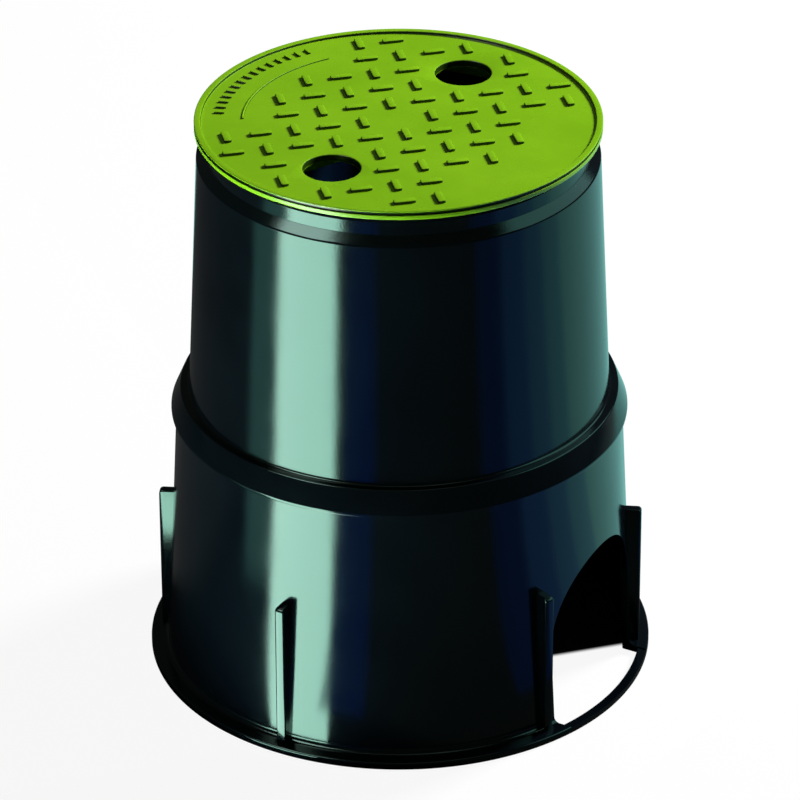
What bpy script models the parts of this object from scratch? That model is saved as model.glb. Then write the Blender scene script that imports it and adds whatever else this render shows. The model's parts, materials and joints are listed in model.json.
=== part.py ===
"""A round inspection box for buried drains and valves.

The body is one moulding: a tapered wall stepped out at mid height, a collar that carries the lid, a ground
flange with upright ribs, and two arched openings that let a pipe through along X. It is open at the bottom.
The lid is a treaded disc with two finger holes; its edge rests on the collar and its skirt hangs inside.
Metres, +Z up. The origin is the middle of the ground flange's underside.
"""

import math

import bmesh
import bpy
from mathutils import Matrix, Vector

# Fit between the two mouldings
SEAT_GAP = 0.0003
SKIRT_CLEARANCE = 0.0006

# Body, turned form
WALL = 0.0030
BODY_HEIGHT = 0.2335
COLLAR_HEIGHT = 0.0077
SHOULDER_ROUND = 0.0038
SHOULDER_RADIUS = 0.0795
COLLAR_INSET = 0.0036
UPPER_FLARE = 0.0048
SHELF_HEIGHT = 0.1198
SHELF_WIDTH = 0.0035
SHELF_FILLET = 0.0012
LIP_DROP = 0.0091
LIP_BAND = 0.0012
LIP_PROUD = 0.0020
STEP_WIDTH = 0.0054
LOWER_FLARE = 0.0053
FLANGE_WIDTH = 0.0074
FLANGE_THICKNESS = 0.0030
FLANGE_FILLET = 0.0024
EDGE_ROUND = 0.0006

# Ribs round the foot of the body, and the pipe openings between them
RIB_HEIGHT = 0.0646
RIB_REACH = 0.0034
RIB_THICKNESS = 0.0040
RIB_ROUND = 0.0016
OPENING_WIDTH = 0.0665
OPENING_HEIGHT = 0.0690
OPENING_TO_RIB = 0.0054
STRAP_WIDTH = 0.0038
STRAP_THICKNESS = 0.0026

# Lid, turned form
LID_OVERHANG = 0.0041
LID_EDGE = 0.00365
RIM_WIDTH = 0.0028
RIM_HEIGHT = 0.0010
PLATE_THICKNESS = 0.0028
SKIRT_DEPTH = 0.0095
SKIRT_THICKNESS = 0.0022
WEB_DEPTH = 0.0065
WEB_THICKNESS = 0.0020
WEB_COUNT = 8
HUB_RADIUS = 0.0260
HUB_DROP = 0.0006

# Lid, finger holes, tread and the two plain fields that the tread leaves free
HOLE_RADIUS = 0.01125
HOLE_CENTRE = 0.0487
LID_TURN = math.radians(-2.9)
TREAD_PITCH = 0.01375
TREAD_ANGLE = math.radians(45)
BAR_LENGTH = 0.0088
BAR_WIDTH = 0.0032
BAR_HEIGHT = 0.0010
BAR_DRAFT = 0.0003
HOLE_MARGIN = 0.0040
FIELD_START = 0.0530
FIELDS = ((math.radians(180), math.radians(34.5)), (0.0, math.radians(35)))
BORDER_RADIUS = 0.0610
BORDER_WIDTH = 0.0010
BORDER_HEIGHT = 0.0005
BORDER_HALF_ANGLE = math.radians(31)

# Facets
STEPS = 90
HOLE_STEPS = 36
ARC_STEPS = 24
SUNK = 0.0008
REACH = 0.0200
SHARP_ANGLE = math.radians(32)

BODY_COLOUR = (0.012, 0.017, 0.019, 1.0)
LID_COLOUR = (0.226, 0.503, 0.012, 1.0)

# Radii and heights that follow from the sizes above
COLLAR_RADIUS = SHOULDER_RADIUS - COLLAR_INSET
COLLAR_FOOT = BODY_HEIGHT - COLLAR_HEIGHT
UPPER_FOOT_RADIUS = SHOULDER_RADIUS + UPPER_FLARE
SHELF_RADIUS = UPPER_FOOT_RADIUS + SHELF_WIDTH
LOWER_TOP_RADIUS = UPPER_FOOT_RADIUS + STEP_WIDTH
LIP_RADIUS = LOWER_TOP_RADIUS + LIP_PROUD
LIP_TOP = SHELF_HEIGHT - LIP_DROP
LIP_BOTTOM = LIP_TOP - LIP_BAND
FOOT_RADIUS = LOWER_TOP_RADIUS + LOWER_FLARE
FLANGE_RADIUS = FOOT_RADIUS + FLANGE_WIDTH
RIB_RADIUS = FOOT_RADIUS + RIB_REACH
SIDE_RIB = math.asin((OPENING_WIDTH / 2 + OPENING_TO_RIB) / FOOT_RADIUS)
RIB_ANGLES = [turn + side for turn in (0.0, math.pi) for side in (-SIDE_RIB, SIDE_RIB, math.pi / 2)]
SEAT = BODY_HEIGHT + SEAT_GAP
LID_RADIUS = COLLAR_RADIUS + LID_OVERHANG
LID_TOP = SEAT + LID_EDGE
RIM_RADIUS = LID_RADIUS - RIM_WIDTH
PLATE_TOP = LID_TOP - RIM_HEIGHT
PLATE_BOTTOM = PLATE_TOP - PLATE_THICKNESS
SKIRT_RADIUS = COLLAR_RADIUS - WALL - SKIRT_CLEARANCE
SKIRT_INNER = SKIRT_RADIUS - SKIRT_THICKNESS
SKIRT_BOTTOM = SEAT - SKIRT_DEPTH
WEB_BOTTOM = PLATE_BOTTOM - WEB_DEPTH


def clear_scene():
    for obj in list(bpy.data.objects):
        bpy.data.objects.remove(obj, do_unlink=True)


def make_collection(name):
    collection = bpy.data.collections.new(name)
    bpy.context.scene.collection.children.link(collection)
    return collection


def plastic(name, colour, roughness):
    material = bpy.data.materials.new(name)
    material.use_nodes = True
    shader = material.node_tree.nodes["Principled BSDF"]
    shader.inputs["Base Color"].default_value = colour
    shader.inputs["Roughness"].default_value = roughness
    shader.inputs["Metallic"].default_value = 0.0
    material.diffuse_color = colour
    return material


def quarter(centre, radii, start, end, count=3):
    """Points of an elliptic arc in the profile plane, from angle start to angle end, in degrees."""
    points = []
    for k in range(count + 1):
        angle = math.radians(start + (end - start) * k / count)
        points.append((centre[0] + radii[0] * math.cos(angle), centre[1] + radii[1] * math.sin(angle)))
    return points


def wall_radius(z):
    """Outer radius of the lower wall at height z."""
    share = (z - FLANGE_THICKNESS) / (LIP_BOTTOM - FLANGE_THICKNESS)
    return FOOT_RADIUS - LOWER_FLARE * share


def turned(name, profile, collection, closed):
    """A Screw modifier turns the profile, which runs down its outer side."""
    mesh = bpy.data.meshes.new(name)
    points = [(radius, 0.0, z) for radius, z in profile]
    edges = [(k, k + 1) for k in range(len(points) - 1)]
    if closed:
        edges.append((len(points) - 1, 0))
    mesh.from_pydata(points, edges, [])
    obj = bpy.data.objects.new(name, mesh)
    collection.objects.link(obj)
    screw = obj.modifiers.new("turn", "SCREW")
    screw.steps = STEPS
    screw.render_steps = STEPS
    screw.use_merge_vertices = True
    screw.merge_threshold = 0.00001
    screw.use_smooth_shade = True
    return obj


def outline_solid(name, outline, thickness, place, collection):
    """A flat outline as a filled 2D curve, extruded to a thickness and turned into a mesh."""
    curve = bpy.data.curves.new(name, "CURVE")
    curve.dimensions = "2D"
    curve.fill_mode = "BOTH"
    curve.extrude = thickness / 2
    spline = curve.splines.new("POLY")
    spline.points.add(len(outline) - 1)
    for point, (x, y) in zip(spline.points, outline):
        point.co = (x, y, 0.0, 1.0)
    spline.use_cyclic_u = True
    guide = bpy.data.objects.new(name + "_outline", curve)
    collection.objects.link(guide)
    graph = bpy.context.evaluated_depsgraph_get()
    mesh = bpy.data.meshes.new_from_object(guide.evaluated_get(graph))
    bpy.data.objects.remove(guide, do_unlink=True)
    shape = bmesh.new()
    shape.from_mesh(mesh)
    bmesh.ops.remove_doubles(shape, verts=shape.verts, dist=0.000001)
    bmesh.ops.recalc_face_normals(shape, faces=shape.faces)
    bmesh.ops.transform(shape, matrix=place, verts=shape.verts)
    shape.to_mesh(mesh)
    shape.free()
    obj = bpy.data.objects.new(name, mesh)
    collection.objects.link(obj)
    return obj


def object_from(shape, name, collection):
    """An object that holds a bmesh's geometry; the bmesh is freed."""
    mesh = bpy.data.meshes.new(name)
    shape.to_mesh(mesh)
    shape.free()
    obj = bpy.data.objects.new(name, mesh)
    collection.objects.link(obj)
    return obj


def hide_cutter(obj):
    obj.hide_render = True
    obj.display_type = "WIRE"


def join_by_boolean(target, other, operation):
    hide_cutter(other)
    modifier = target.modifiers.new(other.name, "BOOLEAN")
    modifier.operation = operation
    modifier.solver = "EXACT"
    modifier.object = other


def settle(obj, material):
    """Keeps the evaluated mesh, shaded smooth with its real edges sharp."""
    graph = bpy.context.evaluated_depsgraph_get()
    mesh = bpy.data.meshes.new_from_object(obj.evaluated_get(graph))
    mesh.name = obj.name
    obj.modifiers.clear()
    obj.data = mesh
    mesh.materials.clear()
    mesh.materials.append(material)
    mesh.shade_smooth()
    mesh.set_sharp_from_angle(angle=SHARP_ANGLE)


def body_profile():
    """The wall's section: down the outside from the collar, under the flange, and up the inside."""
    outside = [(COLLAR_RADIUS - EDGE_ROUND, BODY_HEIGHT), (COLLAR_RADIUS, BODY_HEIGHT - EDGE_ROUND)]
    outside += quarter((COLLAR_RADIUS, COLLAR_FOOT - SHOULDER_ROUND), (COLLAR_INSET, SHOULDER_ROUND), 90, 0, 5)
    fillet_foot = (UPPER_FOOT_RADIUS + SHELF_FILLET, SHELF_HEIGHT + SHELF_FILLET)
    outside += quarter(fillet_foot, (SHELF_FILLET, SHELF_FILLET), 180, 270, 3)
    outside += [(SHELF_RADIUS - EDGE_ROUND, SHELF_HEIGHT), (SHELF_RADIUS, SHELF_HEIGHT - EDGE_ROUND)]
    outside += [(LIP_RADIUS - EDGE_ROUND / 2, LIP_TOP + EDGE_ROUND), (LIP_RADIUS, LIP_TOP - EDGE_ROUND / 2)]
    outside += [(LIP_RADIUS, LIP_BOTTOM + EDGE_ROUND / 2), (LIP_RADIUS - EDGE_ROUND, LIP_BOTTOM)]
    outside += [(LOWER_TOP_RADIUS + EDGE_ROUND, LIP_BOTTOM - EDGE_ROUND / 2)]
    outside += [(wall_radius(LIP_BOTTOM - EDGE_ROUND * 2), LIP_BOTTOM - EDGE_ROUND * 2)]
    fillet_top = FLANGE_THICKNESS + FLANGE_FILLET
    fillet_centre = (wall_radius(fillet_top) + FLANGE_FILLET, fillet_top)
    outside += quarter(fillet_centre, (FLANGE_FILLET, FLANGE_FILLET), 180, 270, 4)
    outside += [(FLANGE_RADIUS - EDGE_ROUND, FLANGE_THICKNESS), (FLANGE_RADIUS, FLANGE_THICKNESS - EDGE_ROUND)]
    outside += [(FLANGE_RADIUS, 0.0)]
    ceiling = SHELF_HEIGHT - WALL
    inside = [(FOOT_RADIUS - WALL, 0.0)]
    inside += [(LOWER_TOP_RADIUS - WALL, ceiling), (UPPER_FOOT_RADIUS - WALL, ceiling)]
    inside += [(SHOULDER_RADIUS - WALL, COLLAR_FOOT - WALL), (COLLAR_RADIUS - WALL, COLLAR_FOOT)]
    inside += [(COLLAR_RADIUS - WALL, BODY_HEIGHT - EDGE_ROUND), (COLLAR_RADIUS - WALL + EDGE_ROUND, BODY_HEIGHT)]
    return outside + inside


def arch_outline():
    """The pipe opening seen along X: upright sides under a half round, standing on the strap."""
    half = OPENING_WIDTH / 2
    spring = OPENING_HEIGHT - half
    points = quarter((0.0, spring), (half, half), 0, 180, ARC_STEPS)
    return points + [(-half, STRAP_THICKNESS), (half, STRAP_THICKNESS)]


def strap_outline():
    """Plan of what the openings remove down to the ground: a strip with round ends inside the strap."""
    radius = FLANGE_RADIUS - STRAP_WIDTH
    limit = math.degrees(math.asin(OPENING_WIDTH / 2 / radius))
    points = quarter((0.0, 0.0), (radius, radius), -limit, limit, ARC_STEPS // 2)
    return points + quarter((0.0, 0.0), (radius, radius), 180 - limit, 180 + limit, ARC_STEPS // 2)


def rib_outline():
    """One rib in the radius and height plane: its back edge stays inside the leaning wall."""
    top, foot = RIB_HEIGHT, FLANGE_THICKNESS / 2
    corner = (RIB_RADIUS - RIB_ROUND, top - RIB_ROUND)
    points = [(wall_radius(foot) - WALL / 2, foot), (RIB_RADIUS, foot)]
    points += quarter(corner, (RIB_ROUND, RIB_ROUND), 0, 90, 4)
    return points + [(wall_radius(top) - WALL / 2, top)]


def make_body(parts, cutters, material):
    body = turned("body", body_profile(), parts, closed=True)
    upright = Matrix.Rotation(math.radians(90), 4, "X")
    for number, angle in enumerate(RIB_ANGLES, 1):
        place = Matrix.Rotation(angle, 4, "Z") @ upright
        rib = outline_solid(f"rib_{number}", rib_outline(), RIB_THICKNESS, place, cutters)
        join_by_boolean(body, rib, "UNION")
    along_x = Matrix.Rotation(math.radians(90), 4, "Z") @ upright
    length = 2 * (FLANGE_RADIUS + REACH)
    arch = outline_solid("pipe_openings", arch_outline(), length, along_x, cutters)
    join_by_boolean(body, arch, "DIFFERENCE")
    floor_cut = outline_solid("under_openings", strap_outline(), REACH, Matrix.Identity(4), cutters)
    join_by_boolean(body, floor_cut, "DIFFERENCE")
    settle(body, material)
    return body


def lid_profile():
    """The lid's section from the middle of its top, over the rim, and back to the middle underneath."""
    points = [(0.0, PLATE_TOP), (RIM_RADIUS, PLATE_TOP), (RIM_RADIUS + EDGE_ROUND / 2, LID_TOP)]
    points += quarter((LID_RADIUS - EDGE_ROUND, LID_TOP - EDGE_ROUND), (EDGE_ROUND, EDGE_ROUND), 90, 0, 2)
    points += [(LID_RADIUS, SEAT + EDGE_ROUND / 2), (LID_RADIUS - EDGE_ROUND / 2, SEAT)]
    points += [(SKIRT_RADIUS, SEAT), (SKIRT_RADIUS, SKIRT_BOTTOM + EDGE_ROUND)]
    points += [(SKIRT_RADIUS - EDGE_ROUND, SKIRT_BOTTOM), (SKIRT_INNER, SKIRT_BOTTOM)]
    return points + [(SKIRT_INNER, PLATE_BOTTOM), (0.0, PLATE_BOTTOM)]


def plain_here(x, y):
    """True inside a finger hole's margin, at the middle, past the rim, or in one of the plain fields."""
    radius = math.hypot(x, y)
    if radius < TREAD_PITCH / 2 or radius > RIM_RADIUS - BAR_LENGTH * 0.62:
        return True
    keep_out = HOLE_RADIUS + HOLE_MARGIN
    if math.hypot(x, abs(y) - HOLE_CENTRE) < keep_out:
        return True
    for middle, half in FIELDS:
        turn = math.atan2(y, x) - middle
        turn = math.atan2(math.sin(turn), math.cos(turn))
        if radius > FIELD_START and abs(turn) < half:
            return True
    return False


def tread_bars():
    """Places of the raised bars, on a square lattice whose neighbours lie across each other."""
    count = int(RIM_RADIUS / TREAD_PITCH) + 1
    lattice = Matrix.Rotation(TREAD_ANGLE, 3, "Z")
    for i in range(-count, count + 1):
        for j in range(-count, count + 1):
            spot = lattice @ Vector((i * TREAD_PITCH, j * TREAD_PITCH, 0.0))
            if not plain_here(spot.x, spot.y):
                yield spot, TREAD_ANGLE + math.radians(90) * ((i + j) % 2)


def add_bar(shape, spot, angle):
    """One bar: a block sunk in the plate, with its top drawn in on all sides."""
    height = BAR_HEIGHT + SUNK
    place = Matrix.Translation((spot.x, spot.y, PLATE_TOP - SUNK + height / 2)) @ Matrix.Rotation(angle, 4, "Z")
    size = Matrix.Diagonal((BAR_LENGTH, BAR_WIDTH, height, 1.0))
    block = bmesh.ops.create_cube(shape, size=1.0, matrix=size)["verts"]
    for vert in block:
        if vert.co.z > 0:
            vert.co.x -= math.copysign(BAR_DRAFT, vert.co.x)
            vert.co.y -= math.copysign(BAR_DRAFT, vert.co.y)
    bmesh.ops.transform(shape, matrix=place, verts=block)


def make_tread(collection):
    shape = bmesh.new()
    for spot, angle in tread_bars():
        add_bar(shape, spot, angle)
    return object_from(shape, "tread", collection)


def border_outline(middle):
    """Plan of the thin raised line that bounds a plain field on its inner side."""
    start = math.degrees(middle - BORDER_HALF_ANGLE)
    end = math.degrees(middle + BORDER_HALF_ANGLE)
    inner = BORDER_RADIUS - BORDER_WIDTH / 2
    outer = BORDER_RADIUS + BORDER_WIDTH / 2
    points = quarter((0.0, 0.0), (outer, outer), start, end, ARC_STEPS // 2)
    return points + quarter((0.0, 0.0), (inner, inner), end, start, ARC_STEPS // 2)


def make_webs(collection):
    """Stiffening spokes under the plate, from the hub ring to the skirt, as one operand."""
    height = WEB_DEPTH + SUNK
    inner = HUB_RADIUS - WEB_THICKNESS / 2
    outer = SKIRT_RADIUS - SKIRT_THICKNESS / 2
    middle = Vector(((inner + outer) / 2, 0.0, PLATE_BOTTOM + SUNK - height / 2))
    size = Matrix.Diagonal((outer - inner, WEB_THICKNESS, height, 1.0))
    shape = bmesh.new()
    for number in range(WEB_COUNT):
        turn = Matrix.Rotation(math.tau * (number + 0.5) / WEB_COUNT, 4, "Z")
        bmesh.ops.create_cube(shape, size=1.0, matrix=turn @ Matrix.Translation(middle) @ size)
    return object_from(shape, "webs", collection)


def make_hub_ring(collection):
    """A ring under the middle of the plate, a little deeper than the spokes that meet it."""
    inner = HUB_RADIUS - WEB_THICKNESS
    top, bottom = PLATE_BOTTOM + SUNK, WEB_BOTTOM - HUB_DROP
    section = [(HUB_RADIUS, top), (HUB_RADIUS, bottom), (inner, bottom), (inner, top)]
    return turned("hub_ring", section, collection, closed=True)


def make_finger_hole(name, y, collection):
    shape = bmesh.new()
    span = LID_TOP - WEB_BOTTOM + REACH
    place = Matrix.Translation((0.0, y, (LID_TOP + WEB_BOTTOM) / 2))
    bmesh.ops.create_cone(
        shape, cap_ends=True, segments=HOLE_STEPS, radius1=HOLE_RADIUS, radius2=HOLE_RADIUS, depth=span, matrix=place
    )
    return object_from(shape, name, collection)


def make_lid(parts, cutters, material):
    lid = turned("lid", lid_profile(), parts, closed=False)
    join_by_boolean(lid, make_tread(cutters), "UNION")
    border_height = BORDER_HEIGHT + SUNK
    border_place = Matrix.Translation((0.0, 0.0, PLATE_TOP - SUNK + border_height / 2))
    border_plan = border_outline(FIELDS[0][0])
    border = outline_solid("field_border", border_plan, border_height, border_place, cutters)
    join_by_boolean(lid, border, "UNION")
    join_by_boolean(lid, make_webs(cutters), "UNION")
    join_by_boolean(lid, make_hub_ring(cutters), "UNION")
    for name, y in (("finger_hole_1", HOLE_CENTRE), ("finger_hole_2", -HOLE_CENTRE)):
        join_by_boolean(lid, make_finger_hole(name, y, cutters), "DIFFERENCE")
    settle(lid, material)
    lid.rotation_euler.z = LID_TURN
    return lid


def main():
    clear_scene()
    parts = make_collection("round_drain_box")
    cutters = make_collection("cutters")
    body = make_body(parts, cutters, plastic("black_plastic", BODY_COLOUR, 0.42))
    lid = make_lid(parts, cutters, plastic("green_plastic", LID_COLOUR, 0.45))
    lid.parent = body


main()
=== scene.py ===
"""The round drain box in a plain studio, seen as in the photograph.

The two mouldings are built again here, with rounded edges and finer arcs, on the sizes of the
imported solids. Metres, +Z up, on the part's own frame. Angles round the box are counted from +X.
"""

import json
import math

import bmesh
import bpy
from mathutils import Matrix, Vector

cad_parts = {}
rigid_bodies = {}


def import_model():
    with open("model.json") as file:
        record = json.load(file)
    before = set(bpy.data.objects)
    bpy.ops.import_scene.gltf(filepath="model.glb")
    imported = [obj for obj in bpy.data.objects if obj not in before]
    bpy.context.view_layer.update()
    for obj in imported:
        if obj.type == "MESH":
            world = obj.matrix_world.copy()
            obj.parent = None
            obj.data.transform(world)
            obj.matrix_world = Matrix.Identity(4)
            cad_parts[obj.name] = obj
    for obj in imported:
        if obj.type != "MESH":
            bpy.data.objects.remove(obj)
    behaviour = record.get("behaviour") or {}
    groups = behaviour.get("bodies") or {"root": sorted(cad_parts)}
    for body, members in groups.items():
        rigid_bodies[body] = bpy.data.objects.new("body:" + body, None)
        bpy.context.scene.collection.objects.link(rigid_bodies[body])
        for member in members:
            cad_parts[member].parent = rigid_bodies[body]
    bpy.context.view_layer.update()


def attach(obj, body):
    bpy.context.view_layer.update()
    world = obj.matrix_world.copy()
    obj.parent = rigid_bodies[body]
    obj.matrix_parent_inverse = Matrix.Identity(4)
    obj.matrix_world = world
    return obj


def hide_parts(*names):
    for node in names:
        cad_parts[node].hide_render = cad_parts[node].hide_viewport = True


# Body: radii and heights of the turned form
WALL = 0.0030
BODY_TOP = 0.2335
COLLAR_FOOT = 0.2252
SHOULDER_HEIGHT = 0.2218
COLLAR_RADIUS = 0.0759
COLLAR_TAPER = 0.0008
COLLAR_TAPER_HEIGHT = 0.0030
SHOULDER_RADIUS = 0.0795
UPPER_FOOT_RADIUS = 0.0843
SHELF_HEIGHT = 0.1198
SHELF_RADIUS = 0.0878
LIP_RADIUS = 0.0917
LIP_TOP = 0.1107
LIP_BOTTOM = 0.1095
LIP_UNDERCUT = 0.0002
LOWER_TOP_RADIUS = 0.0897
FOOT_RADIUS = 0.0950
FLANGE_RADIUS = 0.10232
FLANGE_THICKNESS = 0.0030

# Body: rounds and fillets at the corners of the turned form
COLLAR_EDGES = (0.0006, 0.0008, 0.0002)
SHOULDER_ROUND = 0.0014
SHELF_FILLET = 0.0013
LIP_ROUND = 0.0012
LIP_EDGE = 0.0005
FLANGE_FILLET = 0.0024
MOUTH_EDGE = 0.0007

# Body: ribs, pipe openings and the strap under them
RIB_HEIGHT = 0.0646
RIB_RADIUS = 0.0984
RIB_THICKNESS = 0.0040
RIB_TOP_ROUND = 0.0016
RIB_EDGE = 0.0006
SIDE_RIB = math.radians(24.0)
OPENING_WIDTH = 0.0665
OPENING_HEIGHT = 0.0690
STRAP_INNER = 0.0986
STRAP_THICKNESS = 0.0026

# Lid: radii and heights of the turned form, and how far in from its corners the flat caps begin
LID_RADIUS = 0.0800
RIM_RADIUS = 0.0772
RIM_LEAN = 0.0002
SEAT = 0.2338
LID_TOP = 0.23745
GROOVE_DROP = 0.0005
GROOVE_WIDTH = 0.0013
GROOVE_DEPTH = 0.0008
PLATE_TOP = 0.23645
PLATE_BOTTOM = 0.23365
SKIRT_RADIUS = 0.0723
SKIRT_INNER = 0.0701
SKIRT_BOTTOM = 0.2243
CAP_MARGIN = 0.0012

# Lid: rounds and fillets at the corners of the turned form
RIM_FILLET = 0.0003
TOP_EDGE = 0.0003
GROOVE_EDGES = (0.0001, 0.0002)
SEAT_EDGE = 0.0005
SKIRT_FILLET = 0.0003
SKIRT_EDGE = 0.0006

# Lid: spokes and hub ring under the plate, finger holes, and the lid's small turn on the collar
WEB_BOTTOM = 0.22715
WEB_THICKNESS = 0.0020
WEB_COUNT = 8
HUB_RADIUS = 0.0260
HUB_BOTTOM = 0.22655
HOLE_RADIUS = 0.01125
HOLE_CENTRE = 0.0487
HOLE_ROUND = 0.0005
HOLE_MARGIN = 0.0040
LID_TURN = math.radians(-2.9)

# Lid: tread. A bar's sides lean in by BAR_LEAN of its height, and its middle keeps BAR_TO_RIM of its
# length off the rim. The two plain fields that the tread leaves free are a middle and a half angle.
TREAD_PITCH = 0.01375
TREAD_ANGLE = math.radians(45)
BAR_LENGTH = 0.0088
BAR_WIDTH = 0.0032
BAR_HEIGHT = 0.0010
BAR_CORNER = 0.0009
BAR_EDGE = 0.0003
BAR_LEAN = 0.12
BAR_TO_RIM = 0.62
LEAST_CORNER = 0.0001
FIELD_START = 0.0530
FIELDS = ((math.radians(180), math.radians(34.5)), (0.0, math.radians(35)))

# Lid: border line and ticks of the field at the back
BORDER_RADIUS = 0.0610
BORDER_WIDTH = 0.0010
BORDER_HEIGHT = 0.0005
BORDER_HALF_ANGLE = math.radians(31)
TICK_COUNT = 15
TICK_RADIUS = 0.0705
TICK_HALF_ANGLE = math.radians(27)
TICK_LENGTH = 0.0042
TICK_WIDTH = 0.0012
TICK_HEIGHT = 0.0007
TICK_CORNER = 0.0004
TICK_EDGE = 0.00025

# Facets of the turned forms, of arcs and of rounds
STEPS = 360
ARCH_STEPS = 72
STRAP_STEPS = 40
BORDER_STEPS = 60
BORDER_ARC_STEPS = 8
HOLE_STEPS = 96
CORNER_STEPS = 4
ARC_POINTS = 6

# The usual edge and fillet, how far a raised form is sunk in what carries it, how far a cutter
# reaches past, and the distance within which twin points are one
EDGE = 0.0004
FILLET = 0.0008
SUNK = 0.0008
REACH = 0.0200
WELD = 0.000005

# Angles between faces past which an edge is rounded, or stays sharp in the shading
RIB_SHARP = math.radians(40)
BODY_SHARP = math.radians(32)
LID_SHARP = math.radians(35)

# Camera fitted to the photograph
VIEW_TURN = math.radians(29)
VIEW_PITCH = math.radians(29.567)
VIEW_ROLL = math.radians(-0.19)
VIEW_DISTANCE = 2.1642
LOOK_AT = Vector((0.0, 0.0, 0.11041))
LENS = 242.08
SENSOR = 36.0
SHIFT = 0.6 / 800

# Plastics: darkest and palest colour, least and most roughness, grain, and tint of the gloss.
# Grain is the fine grain's scale, its depth, and the depth of the wall's slow waves.
BLACK = (
    (0.001, 0.002, 0.0035),
    (0.002, 0.004, 0.006),
    (0.10, 0.15),
    (1600.0, 0.00002, 0.0001),
    (0.6, 1.0, 0.86),
)
GREEN = (
    (0.205, 0.470, 0.006),
    (0.245, 0.535, 0.009),
    (0.22, 0.30),
    (1800.0, 0.00004, 0.0001),
    (1.0, 1.0, 1.0),
)

# Noise: scale per metre, detail and roughness; and the part of its range that is used
CLOUDS = (25.0, 5.0, 0.6)
GLOSS_PATCHES = (45.0, 4.0, 0.6)
WAVES = (35.0, 1.0, 0.5)
GRAIN_NOISE = (3.0, 0.6)
CLOUD_RANGE = (0.35, 0.65)
NOISE_RANGE = (0.3, 0.7)

# The colour sockets of a mix node
MIX_FIRST, MIX_SECOND, MIX_RESULT = 6, 7, 2

# Painted shade on the lid's steep relief faces and in the edge's groove: colour, share, and where
# it begins and is full by the face's own direction, radius and height
PAINTED_SHADE_COLOUR = (0.004, 0.012, 0.004)
PAINTED_SHADE_SHARE = 0.92
STEEP_FADE = (0.85, 0.45)
RIM_FADE = (RIM_RADIUS + 0.0007, RIM_RADIUS + 0.0003)
PLATE_FADE = (PLATE_BOTTOM, PLATE_BOTTOM + 0.0004)
GROOVE_IN_FADE = (LID_RADIUS - GROOVE_DEPTH - 0.0004, LID_RADIUS - GROOVE_DEPTH - 0.0002)
GROOVE_OUT_FADE = (LID_RADIUS - 0.0001, LID_RADIUS - 0.0003)
GROOVE_FADE = 0.0001

# Floor and world. A pair is what other rays get and what the camera gets; on the floor, the box's
# painted shadow gets the first too.
FLOOR_SIZE = 12.0
FLOOR_HEIGHT = -0.0002
FLOOR_TONES = (0.05, 0.9)
FLOOR_GLOW = 0.92
WORLD_LEVELS = (0.04, 1.0)

# Painted shadow in the box, on the floor: outer edge; painted lit patch: direction and near edge
PAINTED_SHADOW_EDGE = (0.0990, 0.1010)
PAINTED_PATCH_AZIMUTH = 16.7
PAINTED_PATCH_EDGE = (0.0335, 0.0365)

# Lamps: name, place as azimuth, elevation and distance, height aimed at, size, power, colour, and
# whether it shows in the gloss and lights the surfaces
WHITE = (1.0, 1.0, 1.0)
STUDIO_CENTRE = (0.0, 0.0, 0.12)
PANELS = (
    ("key", (125, 31, 1.6), 0.15, (0.35, 0.35), 48.0, WHITE, False, True),
    ("top", (160, 80, 1.5), 0.15, (0.8, 0.8), 1.0, WHITE, True, True),
    ("edge_glow", (-66, 54, 1.4), 0.22, (0.5, 0.5), 7.0, WHITE, True, False),
    ("shoulder_glow", (104, 36, 1.5), 0.22, (1.7, 0.9), 6.0, (0.55, 1.0, 1.0), True, False),
)

# Shapes that glow on the floor: name, level, colour, and the outline's azimuths and distances
GLOW_HEIGHT = 0.0003
STRIP_OUTLINE = (
    (-20.0, 0.108),
    (-29.0, 0.290),
    (-31.2, 0.489),
    (-33.4, 1.389),
    (-67.1, 1.368),
    (-63.3, 0.470),
    (-58.0, 0.282),
    (-37.0, 0.108),
)
DIM_OUTLINE = (
    (-69.0, 1.368),
    (-65.0, 0.470),
    (-60.0, 0.282),
    (-54.0, 0.210),
    (-67.0, 0.210),
    (-74.0, 0.282),
    (-80.0, 0.470),
    (-85.0, 1.368),
)
GLOWS = (
    ("glow_left", 14.0, (0.82, 1.0, 0.92), STRIP_OUTLINE),
    ("glow_dim", 0.7, (0.45, 1.0, 0.97), DIM_OUTLINE),
)

# Ring slices that glow dimly on the floor: first and last azimuth, level and colour
SLICES = (
    (-27.0, -12.0, 0.43, (0.02, 0.12, 1.0)),
    (40.0, 54.0, 0.28, (0.12, 0.26, 1.0)),
    (54.0, 68.0, 0.55, (0.16, 0.36, 1.0)),
    (68.0, 80.0, 0.60, (0.22, 0.55, 1.0)),
    (80.0, 93.0, 0.65, (0.30, 0.80, 1.0)),
    (93.0, 204.0, 0.75, (0.40, 1.0, 0.95)),
)
SLICE_STEPS = 12
SLICE_INNER = 0.14
SLICE_OUTER = 0.75


# Mesh helpers


def rounded(corners, closed):
    """A section's points. A corner is its radius, its height and the radius of the arc there."""
    points = []
    count = len(corners)
    for k, (x, y, arc) in enumerate(corners):
        here = Vector((x, y))
        if arc == 0.0 or (not closed and k in (0, count - 1)):
            points.append(here)
            continue
        back = (Vector(corners[k - 1][:2]) - here).normalized()
        ahead = (Vector(corners[(k + 1) % count][:2]) - here).normalized()
        half = back.angle(ahead) / 2
        centre = here + (back + ahead).normalized() * (arc / math.sin(half))
        first = here + back * (arc / math.tan(half)) - centre
        turn = first.angle_signed(here + ahead * (arc / math.tan(half)) - centre)
        for step in range(ARC_POINTS + 1):
            points.append(centre + Matrix.Rotation(-turn * step / ARC_POINTS, 2) @ first)
    return points


def arc_points(centre, radii, start, end, count):
    """Points of an elliptic arc, from angle start to angle end."""
    points = []
    for k in range(count + 1):
        angle = start + (end - start) * k / count
        x = centre[0] + radii[0] * math.cos(angle)
        y = centre[1] + radii[1] * math.sin(angle)
        points.append((x, y))
    return points


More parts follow.
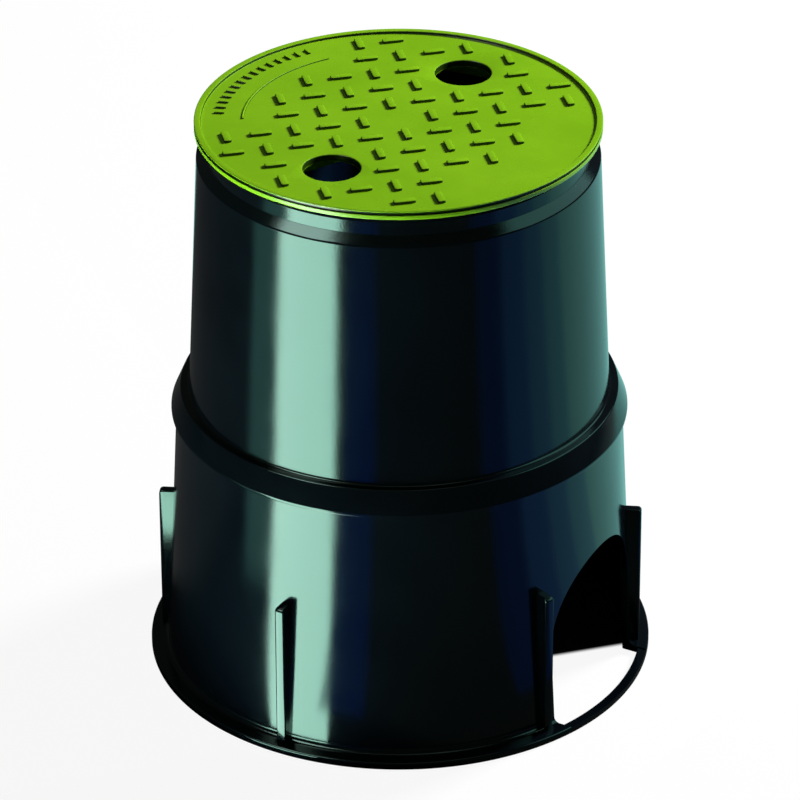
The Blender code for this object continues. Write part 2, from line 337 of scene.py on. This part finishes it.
def object_from(shape, name):
    """An object that holds a bmesh's geometry, its faces turned outward; the bmesh is freed."""
    bmesh.ops.recalc_face_normals(shape, faces=shape.faces)
    mesh = bpy.data.meshes.new(name)
    shape.to_mesh(mesh)
    shape.free()
    obj = bpy.data.objects.new(name, mesh)
    bpy.context.scene.collection.objects.link(obj)
    return obj


def turned(name, section, closed=True):
    """A solid of revolution. A section that isn't closed gets a flat cap at each end."""
    shape = bmesh.new()
    rings = []
    for step in range(STEPS):
        turn = Matrix.Rotation(math.tau * step / STEPS, 3, "Z")
        rings.append([shape.verts.new(turn @ Vector((radius, 0.0, z))) for radius, z in section])
    spans = len(section) if closed else len(section) - 1
    for here, after in zip(rings, rings[1:] + rings[:1]):
        for i in range(spans):
            j = (i + 1) % len(section)
            shape.faces.new((here[i], here[j], after[j], after[i]))
    if not closed:
        for end in (0, -1):
            shape.faces.new([ring[end] for ring in rings])
    return object_from(shape, name)


def skin(shape, loops):
    """Joins loops of one number of points into a solid with flat ends."""
    for low, high in zip(loops, loops[1:]):
        for k in range(len(low)):
            after = (k + 1) % len(low)
            shape.faces.new((low[k], low[after], high[after], high[k]))
    shape.faces.new(loops[0])
    shape.faces.new(loops[-1])


def prism(shape, outline, low, high, place):
    """A flat outline drawn out from low to high along its own Z."""
    loops = []
    for z in (low, high):
        loops.append([shape.verts.new(place @ Vector((x, y, z))) for x, y in outline])
    skin(shape, loops)


def apply_modifiers(obj):
    """Replaces the mesh by what its modifiers make of it."""
    graph = bpy.context.evaluated_depsgraph_get()
    mesh = bpy.data.meshes.new_from_object(obj.evaluated_get(graph))
    old = obj.data
    obj.modifiers.clear()
    obj.data = mesh
    bpy.data.meshes.remove(old)


def carve(obj, operand, operation):
    """One exact boolean; its operand is used up."""
    modifier = obj.modifiers.new(operation, "BOOLEAN")
    modifier.operation = operation
    modifier.solver = "EXACT"
    modifier.object = operand
    apply_modifiers(obj)
    bpy.data.objects.remove(operand, do_unlink=True)


def weld(obj, distance):
    """Joins the twin points that booleans on flush faces leave, and drops their slivers."""
    shape = bmesh.new()
    shape.from_mesh(obj.data)
    bmesh.ops.remove_doubles(shape, verts=shape.verts, dist=distance)
    bmesh.ops.dissolve_degenerate(shape, edges=shape.edges, dist=distance)
    shape.to_mesh(obj.data)
    shape.free()


def round_edges(obj, width, limit, segments):
    """Rounds the edges whose faces meet at more than the limit."""
    modifier = obj.modifiers.new("round", "BEVEL")
    modifier.width = width
    modifier.segments = segments
    modifier.limit_method = "ANGLE"
    modifier.angle_limit = limit
    modifier.use_clamp_overlap = True
    apply_modifiers(obj)


def shade(obj, limit):
    """Smooth shading, but for the edges whose faces meet at more than the limit."""
    obj.data.shade_smooth()
    obj.data.set_sharp_from_angle(angle=limit)


# Body


def wall_radius(z):
    """Outer radius of the lower wall at height z."""
    share = (z - FLANGE_THICKNESS) / (LIP_BOTTOM - FLANGE_THICKNESS)
    return FOOT_RADIUS - (FOOT_RADIUS - LOWER_TOP_RADIUS) * share


def body_section():
    """From the collar's mouth down the outside to the foot, and back up the inside."""
    top_edge, taper_edge, foot_edge = COLLAR_EDGES
    ceiling = SHELF_HEIGHT - WALL
    corners = [
        (COLLAR_RADIUS - COLLAR_TAPER, BODY_TOP, top_edge),
        (COLLAR_RADIUS, BODY_TOP - COLLAR_TAPER_HEIGHT, taper_edge),
        (COLLAR_RADIUS, COLLAR_FOOT, foot_edge),
        (SHOULDER_RADIUS, SHOULDER_HEIGHT, SHOULDER_ROUND),
        (UPPER_FOOT_RADIUS, SHELF_HEIGHT, SHELF_FILLET),
        (SHELF_RADIUS, SHELF_HEIGHT, FILLET),
        (LIP_RADIUS, LIP_TOP, LIP_ROUND),
        (LIP_RADIUS, LIP_BOTTOM, LIP_EDGE),
        (LOWER_TOP_RADIUS, LIP_BOTTOM - LIP_UNDERCUT, EDGE),
        (FOOT_RADIUS, FLANGE_THICKNESS, FLANGE_FILLET),
        (FLANGE_RADIUS, FLANGE_THICKNESS, FILLET),
        (FLANGE_RADIUS, 0.0, EDGE),
        (FOOT_RADIUS - WALL, 0.0, EDGE),
        (LOWER_TOP_RADIUS - WALL, ceiling, FILLET),
        (UPPER_FOOT_RADIUS - WALL, ceiling, FILLET),
        (SHOULDER_RADIUS - WALL, COLLAR_FOOT - WALL, FILLET),
        (COLLAR_RADIUS - WALL, COLLAR_FOOT, FILLET),
        (COLLAR_RADIUS - WALL, BODY_TOP, MOUTH_EDGE),
    ]
    return rounded(corners, closed=True)


def make_ribs():
    """Six upright ribs: one on each side of an opening, and one midway between the openings."""
    foot = FLANGE_THICKNESS / 2
    corner = (RIB_RADIUS - RIB_TOP_ROUND, RIB_HEIGHT - RIB_TOP_ROUND)
    outline = [(wall_radius(foot) - WALL / 2, foot), (RIB_RADIUS, foot)]
    outline += arc_points(corner, (RIB_TOP_ROUND, RIB_TOP_ROUND), 0.0, math.pi / 2, ARC_POINTS)
    outline += [(wall_radius(RIB_HEIGHT) - WALL / 2, RIB_HEIGHT)]
    shape = bmesh.new()
    upright = Matrix.Rotation(math.pi / 2, 4, "X")
    for side in (0.0, math.pi):
        for turn in (-SIDE_RIB, SIDE_RIB, math.pi / 2):
            place = Matrix.Rotation(side + turn, 4, "Z") @ upright
            prism(shape, outline, -RIB_THICKNESS / 2, RIB_THICKNESS / 2, place)
    ribs = object_from(shape, "ribs")
    round_edges(ribs, RIB_EDGE, RIB_SHARP, segments=3)
    return ribs


def make_arch_cutter():
    """The pipe opening seen along X: upright sides under a half round, standing on the strap."""
    half = OPENING_WIDTH / 2
    outline = arc_points((0.0, OPENING_HEIGHT - half), (half, half), 0.0, math.pi, ARCH_STEPS)
    outline += [(-half, STRAP_THICKNESS), (half, STRAP_THICKNESS)]
    place = Matrix.Rotation(math.pi / 2, 4, "Z") @ Matrix.Rotation(math.pi / 2, 4, "X")
    shape = bmesh.new()
    prism(shape, outline, -FLANGE_RADIUS - REACH, FLANGE_RADIUS + REACH, place)
    return object_from(shape, "arch_cutter")


def make_strap_cutter():
    """What the openings take away down to the ground: a strip with round ends inside the strap."""
    limit = math.asin(OPENING_WIDTH / 2 / STRAP_INNER)
    radii = (STRAP_INNER, STRAP_INNER)
    outline = arc_points((0.0, 0.0), radii, -limit, limit, STRAP_STEPS)
    outline += arc_points((0.0, 0.0), radii, math.pi - limit, math.pi + limit, STRAP_STEPS)
    shape = bmesh.new()
    prism(shape, outline, -REACH, REACH / 2, Matrix.Identity(4))
    return object_from(shape, "strap_cutter")


def make_body():
    """The turned wall with its ribs, opened for the pipe on both sides."""
    body = turned("body_fine", body_section())
    carve(body, make_ribs(), "UNION")
    carve(body, make_arch_cutter(), "DIFFERENCE")
    carve(body, make_strap_cutter(), "DIFFERENCE")
    weld(body, WELD)
    shade(body, BODY_SHARP)
    return body


# Lid


def lid_section():
    """From the plate's top, out over the rim and its groove, and back under the plate."""
    groove = LID_TOP - GROOVE_DROP
    corners = [
        (RIM_RADIUS - CAP_MARGIN, PLATE_TOP, 0.0),
        (RIM_RADIUS, PLATE_TOP, RIM_FILLET),
        (RIM_RADIUS + RIM_LEAN, LID_TOP, EDGE),
        (LID_RADIUS, LID_TOP, TOP_EDGE),
        (LID_RADIUS, groove, GROOVE_EDGES[0]),
        (LID_RADIUS - GROOVE_DEPTH, groove, 0.0),
        (LID_RADIUS - GROOVE_DEPTH, groove - GROOVE_WIDTH, 0.0),
        (LID_RADIUS, groove - GROOVE_WIDTH, GROOVE_EDGES[1]),
        (LID_RADIUS, SEAT, SEAT_EDGE),
        (SKIRT_RADIUS, SEAT, SKIRT_FILLET),
        (SKIRT_RADIUS, SKIRT_BOTTOM, SKIRT_EDGE),
        (SKIRT_INNER, SKIRT_BOTTOM, EDGE),
        (SKIRT_INNER, PLATE_BOTTOM, EDGE),
        (SKIRT_INNER - CAP_MARGIN, PLATE_BOTTOM, 0.0),
    ]
    return rounded(corners, closed=False)


def rounded_rectangle(length, width, corner):
    """The rectangle's outline, about its middle."""
    points = []
    for quarter, (sx, sy) in enumerate(((1, 1), (-1, 1), (-1, -1), (1, -1))):
        centre = (sx * (length / 2 - corner), sy * (width / 2 - corner))
        start = quarter * math.pi / 2
        points += arc_points(centre, (corner, corner), start, start + math.pi / 2, CORNER_STEPS)
    return points


def add_bar(shape, place, length, width, height, corner, edge):
    """A bar sunk in the plate, its sides leaning in a little and its top edge rounded."""
    lean = height * BAR_LEAN
    levels = [(-SUNK, 0.0), (height - edge, lean)]
    for step in (1, 2, 3):
        angle = math.pi / 6 * step
        levels.append((height - edge * (1 - math.sin(angle)), lean + edge * (1 - math.cos(angle))))
    loops = []
    for z, inset in levels:
        corner_here = max(corner - inset, LEAST_CORNER)
        outline = rounded_rectangle(length - 2 * inset, width - 2 * inset, corner_here)
        loops.append([shape.verts.new(place @ Vector((x, y, z))) for x, y in outline])
    skin(shape, loops)


def plain_here(x, y):
    """True at the middle, near the rim or a finger hole, and in the plain fields."""
    radius = math.hypot(x, y)
    if radius < TREAD_PITCH / 2 or radius > RIM_RADIUS - BAR_LENGTH * BAR_TO_RIM:
        return True
    if math.hypot(x, abs(y) - HOLE_CENTRE) < HOLE_RADIUS + HOLE_MARGIN:
        return True
    for middle, half in FIELDS:
        turn = math.atan2(y, x) - middle
        turn = math.atan2(math.sin(turn), math.cos(turn))
        if radius > FIELD_START and abs(turn) < half:
            return True
    return False


def add_tread(shape):
    """Raised bars on a square lattice, each lying across its neighbours."""
    count = int(RIM_RADIUS / TREAD_PITCH) + 1
    lattice = Matrix.Rotation(TREAD_ANGLE, 3, "Z")
    for i in range(-count, count + 1):
        for j in range(-count, count + 1):
            spot = lattice @ Vector((i * TREAD_PITCH, j * TREAD_PITCH, 0.0))
            if plain_here(spot.x, spot.y):
                continue
            turn = Matrix.Rotation(TREAD_ANGLE + math.pi / 2 * ((i + j) % 2), 4, "Z")
            place = Matrix.Translation((spot.x, spot.y, PLATE_TOP)) @ turn
            add_bar(shape, place, BAR_LENGTH, BAR_WIDTH, BAR_HEIGHT, BAR_CORNER, BAR_EDGE)


def add_border(shape):
    """A low rounded line on the inner side of the field at the back."""
    half = BORDER_WIDTH / 2
    section = [(-half, -SUNK), (half, -SUNK)]
    section += arc_points((0.0, 0.0), (half, BORDER_HEIGHT), 0.0, math.pi, BORDER_ARC_STEPS)
    middle = FIELDS[0][0]
    loops = []
    for step in range(BORDER_STEPS + 1):
        turn = Matrix.Rotation(middle + BORDER_HALF_ANGLE * (2 * step / BORDER_STEPS - 1), 3, "Z")
        ring = [turn @ Vector((BORDER_RADIUS + x, 0.0, PLATE_TOP + z)) for x, z in section]
        loops.append([shape.verts.new(point) for point in ring])
    skin(shape, loops)


def add_ticks(shape):
    """Evenly spaced plain ticks in the field at the back."""
    middle = FIELDS[0][0]
    for number in range(TICK_COUNT):
        turn = middle + TICK_HALF_ANGLE * (2 * number / (TICK_COUNT - 1) - 1)
        place = Matrix.Rotation(turn, 4, "Z") @ Matrix.Translation((TICK_RADIUS, 0.0, PLATE_TOP))
        add_bar(shape, place, TICK_LENGTH, TICK_WIDTH, TICK_HEIGHT, TICK_CORNER, TICK_EDGE)


def make_webs():
    """Stiffening spokes under the plate, from the hub ring to the skirt."""
    inner = HUB_RADIUS - WEB_THICKNESS / 2
    outer = (SKIRT_RADIUS + SKIRT_INNER) / 2
    half = WEB_THICKNESS / 2
    outline = [(inner, -half), (outer, -half), (outer, half), (inner, half)]
    shape = bmesh.new()
    for number in range(WEB_COUNT):
        place = Matrix.Rotation(math.tau * (number + 0.5) / WEB_COUNT, 4, "Z")
        prism(shape, outline, WEB_BOTTOM, PLATE_BOTTOM + SUNK, place)
    return object_from(shape, "webs")


def make_hub():
    """The ring under the plate that the spokes run to."""
    inner = HUB_RADIUS - WEB_THICKNESS
    top = PLATE_BOTTOM + SUNK
    corners = [
        (HUB_RADIUS, top, 0.0),
        (HUB_RADIUS, HUB_BOTTOM, EDGE),
        (inner, HUB_BOTTOM, EDGE),
        (inner, top, 0.0),
    ]
    return turned("hub", rounded(corners, closed=True))


def make_hole_cutter():
    """Both finger holes: round, with the plate's top edge rounded over."""
    shape = bmesh.new()
    levels = [(WEB_BOTTOM - REACH, 0.0), (PLATE_TOP - HOLE_ROUND, 0.0)]
    for step in (1, 2, 3, 4):
        angle = math.pi / 8 * step
        z = PLATE_TOP - HOLE_ROUND * (1 - math.sin(angle))
        levels.append((z, HOLE_ROUND * (1 - math.cos(angle))))
    levels.append((LID_TOP + REACH, HOLE_ROUND))
    last = math.tau * (HOLE_STEPS - 1) / HOLE_STEPS
    for side in (1, -1):
        loops = []
        for z, grow in levels:
            radius = HOLE_RADIUS + grow
            centre = (0.0, side * HOLE_CENTRE)
            outline = arc_points(centre, (radius, radius), 0.0, last, HOLE_STEPS - 1)
            loops.append([shape.verts.new((x, y, z)) for x, y in outline])
        skin(shape, loops)
    return object_from(shape, "hole_cutter")


def make_lid():
    """The turned rim and skirt, what is raised on the plate or hangs under it, and the holes."""
    lid = turned("lid_fine", lid_section(), closed=False)
    shape = bmesh.new()
    add_tread(shape)
    add_border(shape)
    add_ticks(shape)
    carve(lid, object_from(shape, "raised"), "UNION")
    carve(lid, make_webs(), "UNION")
    carve(lid, make_hub(), "UNION")
    carve(lid, make_hole_cutter(), "DIFFERENCE")
    lid.data.transform(Matrix.Rotation(LID_TURN, 4, "Z"))
    shade(lid, LID_SHARP)
    return lid


# Materials


def new_material(name):
    """An empty node material, and its node tree."""
    material = bpy.data.materials.new(name)
    material.use_nodes = True
    material.node_tree.nodes.clear()
    return material, material.node_tree


def node(tree, kind, **values):
    """A new node with some of its own settings."""
    made = tree.nodes.new(kind)
    for key, value in values.items():
        setattr(made, key, value)
    return made


def noise(tree, scale, detail, roughness):
    """Noise on the object's own coordinates, at a scale per metre."""
    place = node(tree, "ShaderNodeTexCoord")
    made = node(tree, "ShaderNodeTexNoise")
    made.inputs["Scale"].default_value = scale
    made.inputs["Detail"].default_value = detail
    made.inputs["Roughness"].default_value = roughness
    tree.links.new(place.outputs["Object"], made.inputs["Vector"])
    return made.outputs["Fac"]


def ramp(tree, source, low, high, dark, light):
    """A colour that goes from dark to light as the source goes from low to high."""
    made = node(tree, "ShaderNodeValToRGB")
    made.color_ramp.elements[0].position = low
    made.color_ramp.elements[0].color = (*dark, 1.0)
    made.color_ramp.elements[1].position = high
    made.color_ramp.elements[1].color = (*light, 1.0)
    tree.links.new(source, made.inputs["Fac"])
    return made.outputs["Color"]


def spread(tree, source, low, high):
    """Noise, which lies mostly round its middle, as a value from low to high."""
    made = node(tree, "ShaderNodeMapRange")
    made.inputs["From Min"].default_value, made.inputs["From Max"].default_value = NOISE_RANGE
    made.inputs["To Min"].default_value = low
    made.inputs["To Max"].default_value = high
    tree.links.new(source, made.inputs["Value"])
    return made.outputs["Result"]


def bump(tree, source, distance, below=None):
    """A normal with the source's relief, on top of another relief if there is one."""
    made = node(tree, "ShaderNodeBump")
    made.inputs["Strength"].default_value = 1.0
    made.inputs["Distance"].default_value = distance
    tree.links.new(source, made.inputs["Height"])
    if below is not None:
        tree.links.new(below, made.inputs["Normal"])
    return made.outputs["Normal"]


def span(tree, source, low, high):
    """A factor from 0 to 1 as a value from low to high."""
    made = node(tree, "ShaderNodeMapRange")
    made.inputs["To Min"].default_value = low
    made.inputs["To Max"].default_value = high
    tree.links.new(source, made.inputs["Value"])
    return made.outputs["Result"]


def step_between(tree, source, low, high):
    """A soft step: 0 before low, 1 past high."""
    made = node(tree, "ShaderNodeMapRange", interpolation_type="SMOOTHSTEP")
    made.inputs["From Min"].default_value = low
    made.inputs["From Max"].default_value = high
    tree.links.new(source, made.inputs["Value"])
    return made.outputs["Result"]


def combine(tree, operation, first, second):
    """A math node on two values, each a number or another node's output."""
    made = node(tree, "ShaderNodeMath", operation=operation)
    for socket, value in zip(made.inputs, (first, second)):
        if isinstance(value, float):
            socket.default_value = value
        else:
            tree.links.new(value, socket)
    return made.outputs[0]


def painted_shade_mask(tree):
    """Painted shade: 1 on steep faces of tread, holes and rim, in the edge's groove; else 0."""
    place = node(tree, "ShaderNodeTexCoord")
    face = node(tree, "ShaderNodeSeparateXYZ")
    tree.links.new(place.outputs["Normal"], face.inputs[0])
    point = node(tree, "ShaderNodeSeparateXYZ")
    tree.links.new(place.outputs["Object"], point.inputs[0])
    across = combine(tree, "MULTIPLY", point.outputs["X"], point.outputs["X"])
    along = combine(tree, "MULTIPLY", point.outputs["Y"], point.outputs["Y"])
    radius = combine(tree, "SQRT", combine(tree, "ADD", across, along), 0.0)
    steep = step_between(tree, face.outputs["Z"], *STEEP_FADE)
    inside = step_between(tree, radius, *RIM_FADE)
    above = step_between(tree, point.outputs["Z"], *PLATE_FADE)
    walls = combine(tree, "MULTIPLY", combine(tree, "MULTIPLY", steep, inside), above)
    high = LID_TOP - GROOVE_DROP
    low = high - GROOVE_WIDTH
    under = step_between(tree, point.outputs["Z"], high + GROOVE_FADE, high)
    over = step_between(tree, point.outputs["Z"], low - GROOVE_FADE, low)
    past = step_between(tree, radius, *GROOVE_IN_FADE)
    short = step_between(tree, radius, *GROOVE_OUT_FADE)
    between = combine(tree, "MULTIPLY", under, over)
    within = combine(tree, "MULTIPLY", past, short)
    return combine(tree, "MAXIMUM", walls, combine(tree, "MULTIPLY", between, within))


def plastic(name, dark, light, rough, grain, tint, with_painted_shade=False):
    """Moulded plastic: cloudy colour, uneven gloss, slow waves in the wall and a fine grain."""
    material, tree = new_material(name)
    shader = node(tree, "ShaderNodeBsdfPrincipled")
    out = node(tree, "ShaderNodeOutputMaterial")
    tree.links.new(shader.outputs["BSDF"], out.inputs["Surface"])
    shader.inputs["Specular Tint"].default_value = (*tint, 1.0)
    colour = ramp(tree, noise(tree, *CLOUDS), *CLOUD_RANGE, dark, light)
    # Painted shade: the lid's steep relief faces and edge groove mix toward a near-black green.
    if with_painted_shade:
        painted_shade_mix = node(tree, "ShaderNodeMix", data_type="RGBA")
        share = combine(tree, "MULTIPLY", painted_shade_mask(tree), PAINTED_SHADE_SHARE)
        tree.links.new(share, painted_shade_mix.inputs["Factor"])
        tree.links.new(colour, painted_shade_mix.inputs[MIX_FIRST])
        painted_shade_mix.inputs[MIX_SECOND].default_value = (*PAINTED_SHADE_COLOUR, 1.0)
        colour = painted_shade_mix.outputs[MIX_RESULT]
    tree.links.new(colour, shader.inputs["Base Color"])
    tree.links.new(spread(tree, noise(tree, *GLOSS_PATCHES), *rough), shader.inputs["Roughness"])
    grain_scale, grain_depth, wave_depth = grain
    waves = bump(tree, noise(tree, *WAVES), wave_depth)
    fine = bump(tree, noise(tree, grain_scale, *GRAIN_NOISE), grain_depth, waves)
    tree.links.new(fine, shader.inputs["Normal"])
    return material


def dress(obj, material):
    """Gives the object one material, and no other."""
    obj.data.materials.clear()
    obj.data.materials.append(material)


# Studio


def from_view(azimuth, elevation, distance, centre=STUDIO_CENTRE):
    """A point round the box. Azimuth goes from the camera's side to the picture's right."""
    turn = VIEW_TURN + math.radians(azimuth)
    rise = math.radians(elevation)
    flat = distance * math.cos(rise)
    offset = Vector((flat * math.sin(turn), -flat * math.cos(turn), distance * math.sin(rise)))
    return Vector(centre) + offset


def painted_floor_light(tree):
    """1 round the box and on a painted lit patch in the front opening, 0 in a painted shadow."""
    place = node(tree, "ShaderNodeNewGeometry")
    radius = node(tree, "ShaderNodeVectorMath", operation="LENGTH")
    tree.links.new(place.outputs["Position"], radius.inputs[0])
    outside = step_between(tree, radius.outputs["Value"], *PAINTED_SHADOW_EDGE)
    depth = node(tree, "ShaderNodeVectorMath", operation="DOT_PRODUCT")
    depth.inputs[1].default_value = from_view(PAINTED_PATCH_AZIMUTH, 0, 1.0, (0.0, 0.0, 0.0))
    tree.links.new(place.outputs["Position"], depth.inputs[0])
    patch = step_between(tree, depth.outputs["Value"], *PAINTED_PATCH_EDGE)
    return combine(tree, "MAXIMUM", outside, patch)


def make_floor():
    """A plane, near white to the camera but for the box's shadows, and dark to the gloss."""
    bpy.ops.mesh.primitive_plane_add(size=FLOOR_SIZE, location=(0.0, 0.0, FLOOR_HEIGHT))
    floor = bpy.context.object
    floor.name = "floor"
    material, tree = new_material("pale_floor")
    out = node(tree, "ShaderNodeOutputMaterial")
    rays = node(tree, "ShaderNodeLightPath")
    # Painted shadow inside the box: dark tone and no glow there, but for a painted lit patch.
    seen = combine(tree, "MULTIPLY", rays.outputs["Is Camera Ray"], painted_floor_light(tree))
    diffuse = node(tree, "ShaderNodeBsdfDiffuse")
    tree.links.new(span(tree, seen, *FLOOR_TONES), diffuse.inputs["Color"])
    glow = node(tree, "ShaderNodeEmission")
    mix = node(tree, "ShaderNodeMixShader")
    tree.links.new(combine(tree, "MULTIPLY", seen, FLOOR_GLOW), mix.inputs["Fac"])
    tree.links.new(diffuse.outputs[0], mix.inputs[1])
    tree.links.new(glow.outputs[0], mix.inputs[2])
    tree.links.new(mix.outputs[0], out.inputs["Surface"])
    dress(floor, material)


def make_world():
    """White for the camera, and a dim even light for the rest."""
    world = bpy.data.worlds.new("studio")
    bpy.context.scene.world = world
    world.use_nodes = True
    tree = world.node_tree
    tree.nodes.clear()
    out = node(tree, "ShaderNodeOutputWorld")
    back = node(tree, "ShaderNodeBackground")
    rays = node(tree, "ShaderNodeLightPath")
    level = span(tree, rays.outputs["Is Camera Ray"], *WORLD_LEVELS)
    tree.links.new(level, back.inputs["Strength"])
    tree.links.new(back.outputs[0], out.inputs["Surface"])


def add_panel(name, place, aim, size, power, colour, gloss, diffuse):
    """A rectangular lamp that the camera doesn't see."""
    data = bpy.data.lights.new(name, "AREA")
    data.shape = "RECTANGLE"
    data.size, data.size_y = size
    data.energy = power
    data.color = colour
    lamp = bpy.data.objects.new(name, data)
    bpy.context.scene.collection.objects.link(lamp)
    lamp.location = from_view(*place)
    toward = Vector((0.0, 0.0, aim)) - lamp.location
    lamp.rotation_euler = toward.to_track_quat("-Z", "Y").to_euler()
    lamp.visible_camera = False
    lamp.visible_glossy = gloss
    lamp.visible_diffuse = diffuse


def add_glow(name, level, colour, outline):
    """A flat shape on the floor that glows upward, and that the camera doesn't see."""
    shape = bmesh.new()
    centre = (0.0, 0.0, GLOW_HEIGHT)
    places = [from_view(azimuth, 0, distance, centre) for azimuth, distance in outline]
    shape.faces.new([shape.verts.new(place) for place in places])
    obj = object_from(shape, name)
    if obj.data.polygons[0].normal.z < 0:
        obj.data.flip_normals()
    material, tree = new_material(name)
    out = node(tree, "ShaderNodeOutputMaterial")
    side = node(tree, "ShaderNodeNewGeometry")
    glow = node(tree, "ShaderNodeEmission")
    glow.inputs["Color"].default_value = (*colour, 1.0)
    tree.links.new(span(tree, side.outputs["Backfacing"], level, 0.0), glow.inputs["Strength"])
    tree.links.new(glow.outputs[0], out.inputs["Surface"])
    dress(obj, material)
    obj.visible_camera = False
    obj.visible_shadow = False
    obj.visible_transmission = False


def make_lights():
    """All lamps, and all shapes that glow on the floor."""
    for panel in PANELS:
        add_panel(*panel)
    for glow in GLOWS:
        add_glow(*glow)
    for number, (first, last, level, colour) in enumerate(SLICES):
        steps = [first + (last - first) * k / SLICE_STEPS for k in range(SLICE_STEPS + 1)]
        outline = [(azimuth, SLICE_INNER) for azimuth in steps]
        outline += [(azimuth, SLICE_OUTER) for azimuth in reversed(steps)]
        add_glow(f"glow_{number}", level, colour, outline)


def make_camera():
    """The photograph's view."""
    data = bpy.data.cameras.new("camera")
    data.sensor_width = SENSOR
    data.lens = LENS
    data.shift_x = SHIFT
    camera = bpy.data.objects.new("camera", data)
    bpy.context.scene.collection.objects.link(camera)
    place = from_view(0, math.degrees(VIEW_PITCH), VIEW_DISTANCE, LOOK_AT)
    turn = Matrix.Rotation(VIEW_TURN, 4, "Z") @ Matrix.Rotation(math.pi / 2 - VIEW_PITCH, 4, "X")
    camera.matrix_world = Matrix.Translation(place) @ turn @ Matrix.Rotation(VIEW_ROLL, 4, "Z")
    bpy.context.scene.camera = camera


def main():
    """Loads the frame, puts both mouldings in its nodes' place, and adds the studio."""
    for obj in list(bpy.data.objects):
        bpy.data.objects.remove(obj, do_unlink=True)
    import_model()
    black = plastic("black_plastic", *BLACK)
    # The lid's green gets painted shade in its relief and its edge groove.
    green = plastic("green_plastic", *GREEN, with_painted_shade=True)
    for piece, material, name in ((make_body(), black, "body"), (make_lid(), green, "lid")):
        dress(piece, material)
        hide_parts(name)
        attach(piece, "root")
    make_floor()
    make_world()
    make_lights()
    make_camera()
    bpy.context.scene.view_settings.view_transform = "Standard"


main()
